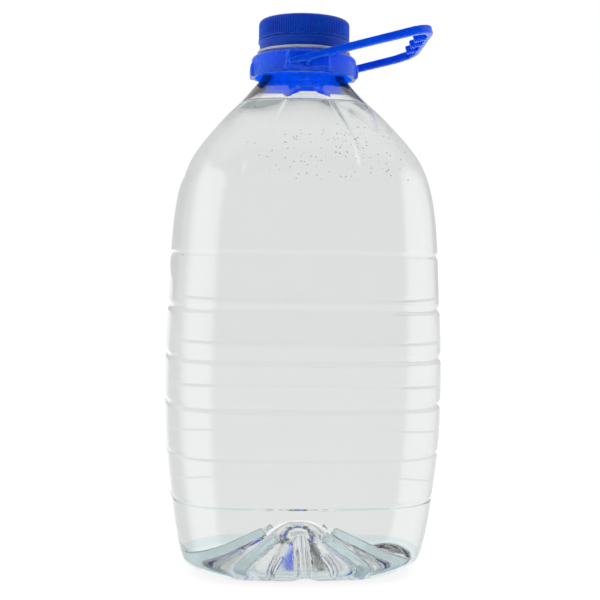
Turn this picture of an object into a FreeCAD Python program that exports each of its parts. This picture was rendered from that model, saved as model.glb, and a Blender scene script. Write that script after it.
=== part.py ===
import FreeCAD, Part
import math
import os
from types import SimpleNamespace

import Sketcher

# A five-litre water jug: a blown bottle with a moulded neck, a screw cap with its liner and its
# tamper band, and a carrying bail that swings on a collar snapped under the neck's support ring.
#
# Frame: the origin is on the floor under the middle of the jug, +Z is up and the bail's grip
# points to +X. All lengths are in millimetres.

DIMENSIONS = [
    ("margin", 1.0, "how far a cutter or a joined block runs past the face that it meets"),
    # Bottle
    ("wall", 0.5, "thickness of the blown wall"),
    ("rib_radius", 2.6, "radius of the rod that forms a wide ring groove"),
    ("rib_depth", 1.3, "depth of a wide ring groove"),
    ("line_radius", 1.5, "radius of the rod that forms a narrow ring groove"),
    ("line_depth", 0.8, "depth of a narrow ring groove"),
    ("panel_depth", 0.8, "how far a shoulder panel is sunk"),
    ("panel_top", 266.0, "height of a shoulder panel's narrow edge"),
    ("panel_bottom", 214.0, "height of a shoulder panel's wide edge"),
    ("panel_top_half", 11.0, "half the width of that narrow edge"),
    ("panel_bottom_half", 37.0, "half the width of that wide edge"),
    ("dome_radius", 22.0, "radius of the ball at the top of the push-up"),
    ("dome_height", 26.0, "height of the push-up above the floor"),
    ("skirt_radius", 57.0, "radius of the push-up where it meets the floor"),
    ("skirt_height", 20.4, "height of the push-up's cone"),
    ("skirt_top_radius", 14.0, "radius of the cone at that height"),
    ("channel_radius", 7.0, "radius of a channel between two feet"),
    ("channel_sink", 3.8, "depth of a channel's axis below the floor"),
    ("channel_reach", 95.0, "length of a channel from the middle"),
    # Neck
    ("bore_radius", 21.2, "inside of the neck finish"),
    ("throat_radius", 22.6, "inside of the neck below the finish"),
    ("neck_radius", 24.3, "outside of the neck under the support ring"),
    ("neck_foot", 279.0, "where the neck joins the shoulder"),
    ("ring_radius", 27.2, "support ring"),
    ("ring_bottom", 294.0, "underside of the support ring"),
    ("ring_top", 295.4, "top of the support ring"),
    ("ring_slope", 0.2, "rise of the support ring's underside"),
    ("groove_radius", 23.2, "neck between the support ring and the tamper bead"),
    ("bead_radius", 24.3, "tamper bead"),
    ("bead_height", 298.6, "height of the tamper bead's sharp edge"),
    ("bead_rise", 0.4, "rise of the bead's underside"),
    ("bead_land", 0.6, "straight stretch above that edge"),
    ("bead_taper", 1.6, "height over which the bead narrows to the finish"),
    ("finish_radius", 22.9, "neck between the threads"),
    ("neck_top", 311.0, "sealing face of the neck"),
    ("lip_chamfer", 0.4, "chamfer round the sealing face"),
    ("bore_bottom", 290.0, "lower end of the neck finish's bore"),
    ("throat_top", 286.0, "height where the throat starts to narrow"),
    # Screw thread
    ("thread_lead", 9.0, "rise in one turn"),
    ("thread_starts", 3.0, "number of starts"),
    ("thread_turn", 0.5, "turns that each start runs for"),
    ("thread_base", 1.8, "height of a thread at its root"),
    ("thread_crest", 0.8, "height of a thread at its crest"),
    ("thread_radius", 24.0, "crest of the neck's thread"),
    ("thread_level", 304.5, "middle of the neck's thread where it starts"),
    ("thread_sink", 0.3, "depth of a thread's root in its wall"),
    # Cap
    ("cap_radius", 26.5, "outside of the cap"),
    ("cap_bottom", 301.7, "lower edge of the cap's skirt"),
    ("cap_top", 313.5, "top of the cap"),
    ("cap_plate", 1.6, "thickness of the cap's top"),
    ("cap_edge", 2.8, "radius of the cap's rounded top edge"),
    ("cap_bore", 24.35, "inside of the cap's skirt"),
    ("cap_crest", 23.25, "crest of the cap's thread"),
    ("knurl_count", 120.0, "ribs round the cap"),
    ("knurl_depth", 0.4, "depth of the notches between them"),
    ("knurl_width", 0.9, "width of a notch"),
    ("knurl_margin", 0.8, "plain band under the notches"),
    ("knurl_height", 8.2, "height of the notches"),
    ("liner_radius", 23.7, "sealing disc inside the cap"),
    # Tamper band
    ("band_bottom", 295.6, "lower edge of the tamper band"),
    ("band_top", 301.3, "upper edge of the tamper band"),
    ("band_radius", 26.8, "lip round the band's upper edge"),
    ("band_waist", 25.8, "band at its lower edge"),
    ("band_bore", 24.7, "inside of the band"),
    ("band_lip", 23.6, "inside of the lip that catches under the bead"),
    ("band_foot", 0.3, "rise of the band's underside towards the neck"),
    ("band_edge", 0.9, "height of the lip round the band's upper edge"),
    ("band_bevel", 0.6, "bevel under that lip"),
    ("catch_gap", 0.6, "gap under the bead to the top of the catching lip"),
    ("catch_height", 0.8, "height of that lip's slope"),
    ("bridge_count", 12.0, "bridges between cap and band"),
    ("bridge_width", 1.2, "width of a bridge"),
    ("bridge_depth", 1.3, "depth of a bridge, inwards"),
    ("bridge_inset", 0.3, "distance of a bridge from the band's bore"),
    # Collar
    ("collar_bottom", 279.8, "lower edge of the collar"),
    ("collar_top", 293.5, "top of the collar"),
    ("collar_radius", 30.7, "outside of the collar"),
    ("collar_wall", 2.3, "thickness of the collar's skirt"),
    ("collar_bore", 24.7, "inside of the collar's fingers"),
    ("collar_slope", 2.2, "height of the sloped top edge"),
    ("collar_rim", 27.0, "radius where that slope meets the top"),
    ("finger_bottom", 284.5, "lower end of the fingers that grip the neck"),
    ("finger_wall", 1.2, "thickness of the fingers"),
    ("finger_count", 18.0, "fingers round the collar"),
    ("finger_gap", 3.8, "gap between two fingers"),
    ("boss_splay", 2.0, "how much further a boss reaches at its underside"),
    ("boss_left", 11.0, "pivot boss, from the axis away from the grip"),
    ("boss_right", 12.5, "pivot boss, from the axis towards the grip"),
    ("boss_bottom", 281.5, "underside of a pivot boss"),
    ("boss_top", 291.6, "top of a pivot boss"),
    ("boss_face", 31.3, "distance of a boss's flat face from the axis"),
    ("lug_reach", 31.5, "reach of the thumb lugs at the sides"),
    ("lug_half", 9.0, "half the width of a thumb lug"),
    ("lug_height", 7.6, "height of a thumb lug"),
    ("lug_count", 2.0, "thumb lugs round the collar"),
    # Bail
    ("pivot_height", 285.1, "height of the bail's pivot axis"),
    ("pin_radius", 1.6, "pivot pins"),
    ("pin_hole", 1.68, "holes that they turn in"),
    ("pin_end", 28.0, "distance of a pin's inner end from the middle"),
    ("arm_inside", 31.8, "distance of an arm's inner face from the middle"),
    ("arm_width", 4.0, "width of an arm"),
    ("arm_height", 4.2, "height of an arm at its pivot"),
    ("bail_tilt", 15.3, "angle of the bail above level, in degrees"),
    ("bail_roll", 3.4, "twist of the bail about its length, front arm up, in degrees"),
    ("bail_length", 74.5, "reach of the bail from its pivot"),
    ("bail_corner", 14.0, "outer corner radius of the bail"),
    ("bar_width", 3.2, "width of the bar across the grip"),
    ("corner_share", 0.3, "where the opening's corner turns, as a share of its bevel"),
    ("grip_height", 4.9, "height of the grip"),
    ("grip_start", 58.0, "distance of the grip's near end from the pivot"),
    ("tail_reach", 11.0, "reach of the tail behind the pivot"),
    ("tail_lift", 0.6, "how far the tail turns up out of the arm's line"),
    ("tail_share", 0.5, "height of the tail's end above its line, as a share of the arm's half"),
    ("stop_half", 1.3, "half the width of the stop under the pivot"),
    ("stop_depth", 3.1, "reach of that stop below the pivot"),
    ("rib_place", 13.5, "distance of the outer grip ribs from the middle one"),
    ("rib_width", 3.2, "width of a grip rib"),
    ("rib_tip", 64.9, "distance of a grip rib's tip from the pivot"),
]

# The blown form, from the floor to the neck: its height, half its width across the flats, and
# the radii of its corners and of its bowed sides as shares of that half width.
LEVELS = [
    ("foot", 0.0, 60.5, 0.62, 4.0),
    ("heel", 4.5, 66.4, 0.50, 4.0),
    ("roll", 12.0, 70.2, 0.44, 4.0),
    ("base", 24.0, 72.8, 0.42, 4.0),
    ("step", 43.4, 75.5, 0.42, 4.0),
    ("crease", 69.3, 78.2, 0.42, 4.0),
    ("low_rib", 96.0, 79.1, 0.42, 4.0),
    ("middle_rib", 121.5, 78.9, 0.42, 4.0),
    ("high_rib", 148.0, 77.7, 0.42, 4.0),
    ("line", 177.0, 75.9, 0.42, 4.0),
    ("brow", 203.0, 73.6, 0.42, 4.0),
    ("bend", 217.0, 70.8, 0.43, 3.8),
    ("slope", 231.0, 65.2, 0.45, 3.5),
    ("cheek", 245.0, 55.1, 0.50, 3.0),
    ("chest", 258.0, 44.0, 0.60, 2.2),
    ("throat", 268.0, 34.4, 0.74, 1.5),
    ("collar_seat", 275.0, 28.4, 0.90, 1.12),
    ("neck", 280.0, 23.95, 0.97, 1.02),
]

WIDE_GROOVES = ["low_rib", "middle_rib", "high_rib"]
NARROW_GROOVES = ["step", "crease", "line"]
CHANNEL_COUNT = 8
SIDE_COUNT = 4
TOLERANCE = 0.01


class Size:
    """A number together with the spreadsheet expression that it comes from."""

    def __init__(self, value, text):
        self.value = float(value)
        self.text = text

    def __add__(self, other):
        other = as_size(other)
        return Size(self.value + other.value, f"({self.text} + {other.text})")

    def __sub__(self, other):
        other = as_size(other)
        return Size(self.value - other.value, f"({self.text} - {other.text})")

    def __mul__(self, other):
        other = as_size(other)
        return Size(self.value * other.value, f"({self.text} * {other.text})")

    def __truediv__(self, other):
        other = as_size(other)
        return Size(self.value / other.value, f"({self.text} / {other.text})")

    def __neg__(self):
        return Size(-self.value, f"(0 - {self.text})")


def as_size(number):
    """Let a plain number stand beside sizes."""
    if isinstance(number, Size):
        return number
    return Size(number, str(float(number)))


document = FreeCAD.newDocument("water_jug")


def write_sheet():
    """Put every driving dimension in the spreadsheet and return them all by name."""
    sheet = document.addObject("Spreadsheet::Sheet", "Dimensions")
    rows = list(DIMENSIONS)
    for name, level, half, corner, bow in LEVELS:
        rows.append((f"level_{name}", level, f"height of the section at the {name}"))
        rows.append((f"half_{name}", half, "half its width across the flats"))
        rows.append((f"corner_{name}", corner, "its corner radius as a share of that"))
        rows.append((f"bow_{name}", bow, "the radius of its sides as a share of that"))
    for number, (alias, value, meaning) in enumerate(rows, start=1):
        sheet.set(f"A{number}", meaning)
        sheet.set(f"B{number}", str(value))
        sheet.setAlias(f"B{number}", alias)
    document.recompute()
    return {alias: Size(value, f"Dimensions.{alias}") for alias, value, meaning in rows}


cell = write_sheet()
size = SimpleNamespace(**cell)


def bind(item, prop, amount):
    """Set a property from a size, and keep it bound to the spreadsheet."""
    item.setExpression(prop, as_size(amount).text)


# ---- Sketches ------------------------------------------------------------------------------

def constrain(sketch, kind, place, amount, name):
    """Add a driving constraint, named and bound to its size."""
    index = sketch.addConstraint(Sketcher.Constraint(kind, *place, amount.value))
    sketch.renameConstraint(index, name)
    bind(sketch, f"Constraints.{name}", amount)


def draw_polygon(sketch, corners):
    """A closed outline whose corners are all placed from the sketch's origin."""
    corners = [(as_size(across), as_size(up)) for across, up in corners]
    points = [FreeCAD.Vector(across.value, up.value, 0) for across, up in corners]
    first = sketch.GeometryCount
    count = len(points)
    for index in range(count):
        line = Part.LineSegment(points[index], points[(index + 1) % count])
        sketch.addGeometry(line, False)
    for index in range(count):
        following = first + (index + 1) % count
        sketch.addConstraint(Sketcher.Constraint("Coincident", first + index, 2, following, 1))
    for index, (across, up) in enumerate(corners):
        corner = (-1, 1, first + index, 1)
        constrain(sketch, "DistanceX", corner, across, f"across_{first + index}")
        constrain(sketch, "DistanceY", corner, up, f"up_{first + index}")


def draw_circle(sketch, across, up, radius):
    """A circle placed from the sketch's origin."""
    across = as_size(across)
    up = as_size(up)
    middle = FreeCAD.Vector(across.value, up.value, 0)
    index = sketch.addGeometry(Part.Circle(middle, FreeCAD.Vector(0, 0, 1), radius.value), False)
    constrain(sketch, "DistanceX", (-1, 1, index, 3), across, f"across_{index}")
    constrain(sketch, "DistanceY", (-1, 1, index, 3), up, f"up_{index}")
    constrain(sketch, "Radius", (index,), radius, f"radius_{index}")


def draw_rectangle(sketch, left, low, right, high):
    """A rectangle between two opposite corners."""
    draw_polygon(sketch, [(left, low), (right, low), (right, high), (left, high)])


# ---- Part Design bodies --------------------------------------------------------------------

def new_body(name):
    """An empty body whose label names the sub-part."""
    body = document.addObject("PartDesign::Body", name)
    body.Label = name
    return body


def body_sketch(body, name, plane, lift=0):
    """A sketch on one of the body's own origin planes, moved along that plane's normal."""
    sketch = body.newObject("Sketcher::SketchObject", name)
    support = [item for item in body.Origin.OriginFeatures if item.Role == plane][0]
    sketch.AttachmentSupport = [(support, "")]
    sketch.MapMode = "FlatFace"
    bind(sketch, "AttachmentOffset.Base.z", lift)
    return sketch


def axis_of(body, role):
    """One of the body's own origin axes."""
    return [item for item in body.Origin.OriginFeatures if item.Role == role][0]


def extrude(body, kind, name, sketch, length, side="One side"):
    """A Pad or a Pocket of the sketch."""
    feature = body.newObject(f"PartDesign::{kind}", name)
    feature.Profile = sketch
    feature.SideType = side
    bind(feature, "Length", length)
    return feature


def revolve(body, name, sketch):
    """A full turn of the sketch about the body's own Z axis."""
    feature = body.newObject("PartDesign::Revolution", name)
    feature.Profile = sketch
    feature.ReferenceAxis = (axis_of(body, "Z_Axis"), [""])
    feature.Angle = 360
    return feature


def repeat_round(body, name, originals, count):
    """Repeat features evenly round the body's own Z axis."""
    pattern = body.newObject("PartDesign::PolarPattern", name)
    pattern.Originals = originals
    pattern.Axis = (axis_of(body, "Z_Axis"), [""])
    pattern.Angle = 360
    bind(pattern, "Occurrences", count)
    body.Tip = pattern
    return pattern


def mirror_front(body, name, originals):
    """Repeat features made at the front, at the back."""
    mirrored = body.newObject("PartDesign::Mirrored", name)
    mirrored.Originals = originals
    mirrored.MirrorPlane = (axis_of(body, "XZ_Plane"), [""])
    body.Tip = mirrored
    return mirrored


def add_thread(body, root, crest, level):
    """Thread ridges from root to crest, all starts, beginning at level."""
    sketch = body_sketch(body, f"{body.Name}_thread_profile", "XZ_Plane")
    half_base = size.thread_base / 2
    half_crest = size.thread_crest / 2
    draw_polygon(sketch, [
        (root, level - half_base),
        (crest, level - half_crest),
        (crest, level + half_crest),
        (root, level + half_base),
    ])
    ridge = body.newObject("PartDesign::AdditiveHelix", f"{body.Name}_thread")
    ridge.Profile = sketch
    ridge.ReferenceAxis = (axis_of(body, "Z_Axis"), [""])
    ridge.Mode = "pitch-turns-angle"
    ridge.LeftHanded = False
    bind(ridge, "Pitch", size.thread_lead)
    bind(ridge, "Turns", size.thread_turn)
    repeat_round(body, f"{body.Name}_thread_starts", [ridge], size.thread_starts)


# ---- Part primitives and booleans ----------------------------------------------------------

def cut(name, base, tool):
    """The base without the tool."""
    feature = document.addObject("Part::Cut", name)
    feature.Base = base
    feature.Tool = tool
    return feature


def fuse(name, shapes):
    """All the shapes as one."""
    feature = document.addObject("Part::MultiFuse", name)
    feature.Shapes = shapes
    return feature


def rounded_square(name, row, offset=0, lift=0):
    """The blown form's section at a level, with every side moved outwards by offset."""
    half = cell[f"half_{row}"]
    side_radius = half * cell[f"bow_{row}"] + offset
    corner_radius = half * cell[f"corner_{row}"] + offset
    setback = half * cell[f"bow_{row}"] - half
    reach = side_radius.value - corner_radius.value
    place = (math.sqrt(2 * reach ** 2 - setback.value ** 2) - setback.value) / 2
    swing = math.atan2(place, place + setback.value)

    sketch = document.addObject("Sketcher::SketchObject", name)
    bind(sketch, "Placement.Base.z", cell[f"level_{row}"] + lift)
    for side in range(SIDE_COUNT):
        facing = side * math.pi / 2
        diagonal = facing + math.pi / 4
        draw_arc(sketch, facing, -setback.value, side_radius.value, facing - swing, facing + swing)
        draw_arc(sketch, diagonal, place * math.sqrt(2), corner_radius.value,
                 facing + swing, facing + math.pi / 2 - swing)

    arc_count = 2 * SIDE_COUNT
    for arc in range(arc_count):
        sketch.addConstraint(Sketcher.Constraint("Tangent", arc, 2, (arc + 1) % arc_count, 1))
    for arc in range(2, arc_count):
        sketch.addConstraint(Sketcher.Constraint("Equal", arc % 2, arc))
    for side in range(SIDE_COUNT):
        along, axis = ("DistanceX", -1) if side % 2 == 0 else ("DistanceY", -2)
        sketch.addConstraint(Sketcher.Constraint("PointOnObject", 2 * side, 3, axis))
        ends = (2 * side, 3, -1, 1) if side < 2 else (-1, 1, 2 * side, 3)
        constrain(sketch, along, ends, setback, f"setback_{side}")
    constrain(sketch, "Radius", (0,), side_radius, "side_radius")
    constrain(sketch, "Radius", (1,), corner_radius, "corner_radius")
    return sketch


def draw_arc(sketch, direction, distance, radius, start, end):
    """An arc whose centre lies at a distance from the origin in a direction."""
    middle = FreeCAD.Vector(math.cos(direction), math.sin(direction), 0) * distance
    circle = Part.Circle(middle, FreeCAD.Vector(0, 0, 1), radius)
    sketch.addGeometry(Part.ArcOfCircle(circle, start, end), False)


def blown_form(name, offset=0):
    """The whole blown form without its grooves, with its surface moved outwards by offset."""
    offset = as_size(offset)
    sections = []
    for row in [level[0] for level in LEVELS]:
        lift = -offset if row == "foot" else 0
        sections.append(rounded_square(f"{name}_{row}", row, offset, lift))
    loft = document.addObject("Part::Loft", name)
    loft.Sections = sections
    loft.Solid = True
    loft.Ruled = False
    return loft


def ring_rod(name, row, radius, depth, growth):
    """A rod bent round the form at a level, which leaves a ring groove of a depth."""
    path = rounded_square(f"{name}_path", row, radius - depth)
    profile = document.addObject("Sketcher::SketchObject", f"{name}_profile")
    profile.Placement.Rotation = FreeCAD.Rotation(FreeCAD.Vector(1, 0, 0), 90)
    across = cell[f"half_{row}"] + radius - depth
    draw_circle(profile, across, cell[f"level_{row}"], radius + growth)
    rod = document.addObject("Part::Sweep", name)
    rod.Sections = [profile]
    rod.Spine = (path, [f"Edge{number + 1}" for number in range(2 * SIDE_COUNT)])
    rod.Solid = True
    return rod


def panel_block(name, side, growth):
    """A block with a shoulder panel's outline that runs out through one side."""
    sketch = document.addObject("Sketcher::SketchObject", f"{name}_outline")
    upright = FreeCAD.Rotation(FreeCAD.Vector(1, 1, 1), 120)
    turn = FreeCAD.Rotation(FreeCAD.Vector(0, 0, 1), 90 * side)
    sketch.Placement.Rotation = turn.multiply(upright)
    top = size.panel_top + growth
    bottom = size.panel_bottom - growth
    top_half = size.panel_top_half + growth
    bottom_half = size.panel_bottom_half + growth
    draw_polygon(sketch, [
        (-bottom_half, bottom),
        (bottom_half, bottom),
        (top_half, top),
        (-top_half, top),
    ])
    block = document.addObject("Part::Extrusion", name)
    block.Base = sketch
    block.DirMode = "Normal"
    block.Solid = True
    bind(block, "LengthFwd", size.channel_reach)
    return block


def push_up(name, growth):
    """The raised middle of the base: a ball on a cone."""
    ball = document.addObject("Part::Sphere", f"{name}_ball")
    bind(ball, "Radius", size.dome_radius + growth)
    bind(ball, "Placement.Base.z", size.dome_height - size.dome_radius)
    cone = document.addObject("Part::Cone", f"{name}_cone")
    bind(cone, "Radius1", size.skirt_radius + growth)
    bind(cone, "Radius2", size.skirt_top_radius + growth)
    bind(cone, "Height", size.skirt_height + growth)
    return fuse(name, [ball, cone])


def channel(name, turn, growth):
    """A round channel in the base that separates two feet."""
    rod = document.addObject("Part::Cylinder", name)
    bind(rod, "Radius", size.channel_radius + growth)
    bind(rod, "Height", size.channel_reach)
    rod.Placement.Rotation = FreeCAD.Rotation(FreeCAD.Vector(0, 0, 1), turn).multiply(
        FreeCAD.Rotation(FreeCAD.Vector(0, 1, 0), 90))
    bind(rod, "Placement.Base.z", -size.channel_sink)
    return rod


def blown_shape(name, growth):
    """The blown form with its grooves, panels and base, for a wall whose face is sunk by growth."""
    form = blown_form(f"{name}_form", -growth)
    panel_floor = blown_form(f"{name}_panel_floor", -(growth + size.panel_depth))
    blocks = [panel_block(f"{name}_panel_{side}", side, growth) for side in range(SIDE_COUNT)]
    panels = cut(f"{name}_panels", fuse(f"{name}_panel_blocks", blocks), panel_floor)
    tools = [panels, push_up(f"{name}_push_up", growth)]
    for row in WIDE_GROOVES:
        tools.append(ring_rod(f"{name}_{row}_rod", row, size.rib_radius, size.rib_depth, growth))
    for row in NARROW_GROOVES:
        tools.append(ring_rod(f"{name}_{row}_rod", row, size.line_radius, size.line_depth, growth))
    for number in range(CHANNEL_COUNT):
        tools.append(channel(f"{name}_channel_{number}", number * 360 / CHANNEL_COUNT, growth))
    return cut(name, form, fuse(f"{name}_tools", tools))


# ---- The sub-parts -------------------------------------------------------------------------

def make_neck():
    """The neck finish: support ring, tamper bead and the outside thread."""
    body = new_body("neck")
    bead_top = size.bead_height + size.bead_land
    sketch = body_sketch(body, "neck_profile", "XZ_Plane")
    draw_polygon(sketch, [
        (size.throat_radius, size.neck_foot),
        (size.neck_radius, size.neck_foot),
        (size.neck_radius, size.ring_bottom - size.ring_slope),
        (size.ring_radius, size.ring_bottom),
        (size.ring_radius, size.ring_top),
        (size.groove_radius, size.ring_top),
        (size.groove_radius, size.bead_height - size.bead_rise),
        (size.bead_radius, size.bead_height),
        (size.bead_radius, bead_top),
        (size.finish_radius, bead_top + size.bead_taper),
        (size.finish_radius, size.neck_top - size.lip_chamfer),
        (size.finish_radius - size.lip_chamfer, size.neck_top),
        (size.bore_radius, size.neck_top),
        (size.bore_radius, size.bore_bottom),
        (size.throat_radius, size.throat_top),
    ])
    revolve(body, "neck_turned", sketch)
    add_thread(body, size.finish_radius - size.thread_sink, size.thread_radius, size.thread_level)
    return body


def make_bottle():
    """The bottle: an even wall between two blown shapes, joined to the neck."""
    outside = blown_shape("outside", as_size(0))
    inside = blown_shape("inside", size.wall)
    shell = cut("shell", outside, inside)
    bottle = fuse("bottle_whole", [shell, make_neck()])
    bottle.Label = "bottle"
    return bottle


def make_cap():
    """The screw cap, with its thread inside and its notches outside."""
    body = new_body("cap")
    sketch = body_sketch(body, "cap_profile", "XZ_Plane")
    draw_polygon(sketch, [
        (size.cap_bore, size.cap_bottom),
        (size.cap_radius, size.cap_bottom),
        (size.cap_radius, size.cap_top),
        (0, size.cap_top),
        (0, size.cap_top - size.cap_plate),
        (size.cap_bore, size.cap_top - size.cap_plate),
    ])
    turned = revolve(body, "cap_turned", sketch)
    document.recompute()

    rounded = body.newObject("PartDesign::Fillet", "cap_rounded")
    rounded.Base = (turned, [circle_name(turned, size.cap_radius, size.cap_top)])
    bind(rounded, "Radius", size.cap_edge)

    notch_sketch = body_sketch(body, "knurl_profile", "XY_Plane", size.cap_bottom + size.knurl_margin)
    half = size.knurl_width / 2
    outside = size.cap_radius + size.knurl_depth / 2
    draw_polygon(notch_sketch, [
        (outside, -half),
        (outside, half),
        (size.cap_radius - size.knurl_depth, 0),
    ])
    notch = extrude(body, "Pocket", "knurl_notch", notch_sketch, size.knurl_height)
    notch.Reversed = True
    repeat_round(body, "knurl", [notch], size.knurl_count)
    between_threads = size.thread_level - size.thread_lead / (size.thread_starts * 2)
    add_thread(body, size.cap_bore + size.thread_sink, size.cap_crest, between_threads)
    return body


def circle_name(feature, radius, height):
    """The name of the feature's round edge of a radius at a height."""
    for number, edge in enumerate(feature.Shape.Edges, start=1):
        round_edge = isinstance(edge.Curve, Part.Circle)
        if round_edge and abs(edge.Curve.Radius - radius.value) < TOLERANCE:
            if abs(edge.Curve.Center.z - height.value) < TOLERANCE:
                return f"Edge{number}"
    raise RuntimeError(f"{feature.Name} has no such round edge")


def make_liner():
    """The sealing disc between the neck's top and the cap."""
    disc = document.addObject("Part::Cylinder", "liner_disc")
    disc.Label = "cap_liner"
    bind(disc, "Radius", size.liner_radius)
    bind(disc, "Height", size.cap_top - size.cap_plate - size.neck_top)
    bind(disc, "Placement.Base.z", size.neck_top)
    return disc


def make_tamper_band():
    """The ring that stays on the neck, with a lip that catches under the bead."""
    body = new_body("tamper_band")
    edge_bottom = size.band_top - size.band_edge
    catch_top = size.bead_height - size.catch_gap
    sketch = body_sketch(body, "band_profile", "XZ_Plane")
    draw_polygon(sketch, [
        (size.band_lip, size.band_bottom + size.band_foot),
        (size.band_waist, size.band_bottom),
        (size.band_radius - size.band_bevel, edge_bottom - size.band_bevel),
        (size.band_radius, edge_bottom),
        (size.band_radius, size.band_top),
        (size.band_bore, size.band_top),
        (size.band_bore, catch_top),
        (size.band_lip, catch_top - size.catch_height),
    ])
    revolve(body, "band_turned", sketch)
    return body


def make_bridges():
    """The small breakable bridges that fill the slit between cap and band."""
    bridges = []
    count = int(size.bridge_count.value)
    for number in range(count):
        bridge = document.addObject("Part::Box", f"bridge_{number}")
        bind(bridge, "Length", size.bridge_depth)
        bind(bridge, "Width", size.bridge_width)
        bind(bridge, "Height", size.cap_bottom - size.band_top)
        turn = FreeCAD.Rotation(FreeCAD.Vector(0, 0, 1), 360 * (number + 0.5) / count)
        nearest = (size.band_bore + size.bridge_inset).value
        corner = turn.multVec(FreeCAD.Vector(nearest, -size.bridge_width.value / 2, 0))
        bridge.Placement = FreeCAD.Placement(corner, turn)
        bind(bridge, "Placement.Base.z", size.band_top)
        bridges.append(bridge)
    group = document.addObject("Part::Compound", "bridge_group")
    group.Label = "band_bridges"
    group.Links = bridges
    return group


def make_collar():
    """The collar on the neck: a hollow skirt, fingers that grip, and two pivot bosses."""
    body = new_body("handle_collar")
    skirt_inside = size.collar_radius - size.collar_wall
    finger_outside = size.collar_bore + size.finger_wall
    slope_bottom = size.collar_top - size.collar_slope

    sketch = body_sketch(body, "collar_profile", "XZ_Plane")
    draw_polygon(sketch, [
        (skirt_inside, size.collar_bottom),
        (size.collar_radius, size.collar_bottom),
        (size.collar_radius, slope_bottom),
        (size.collar_rim, size.collar_top),
        (size.collar_bore, size.collar_top),
        (size.collar_bore, size.finger_bottom),
        (finger_outside, size.finger_bottom),
        (finger_outside, slope_bottom),
        (skirt_inside, slope_bottom - size.margin),
    ])
    revolve(body, "collar_turned", sketch)

    lug_sketch = body_sketch(body, "lug_outline", "XY_Plane", size.collar_bottom)
    lug_root = skirt_inside + size.margin
    draw_rectangle(lug_sketch, lug_root, -size.lug_half, size.lug_reach, size.lug_half)
    lug = extrude(body, "Pad", "lug", lug_sketch, size.lug_height)
    repeat_round(body, "lugs", [lug], size.lug_count)

    boss_sketch = body_sketch(body, "boss_outline", "XZ_Plane", skirt_inside)
    draw_polygon(boss_sketch, [
        (-size.boss_left - size.boss_splay, size.boss_bottom),
        (size.boss_right, size.boss_bottom),
        (size.boss_right, size.boss_top),
        (-size.boss_left, size.boss_top),
    ])
    boss = extrude(body, "Pad", "boss", boss_sketch, size.boss_face - skirt_inside)
    mirror_front(body, "bosses", [boss])

    gap_bottom = size.finger_bottom - size.margin
    gap_sketch = body_sketch(body, "finger_gap_outline", "XY_Plane", gap_bottom)
    half_gap = size.finger_gap / 2
    gap_inside = size.collar_bore - size.margin
    draw_rectangle(gap_sketch, gap_inside, -half_gap, finger_outside + size.margin, half_gap)
    gap = extrude(body, "Pocket", "finger_gap", gap_sketch, slope_bottom - size.finger_bottom)
    gap.Reversed = True
    repeat_round(body, "finger_gaps", [gap], size.finger_count)

    hole_start = skirt_inside - size.margin
    hole_sketch = body_sketch(body, "pin_hole_outline", "XZ_Plane", hole_start)
    draw_circle(hole_sketch, 0, size.pivot_height, size.pin_hole)
    hole = extrude(body, "Pocket", "pin_hole", hole_sketch, size.collar_wall + size.margin * 3)
    hole.Reversed = True
    mirror_front(body, "pin_holes", [hole])
    return body


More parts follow.
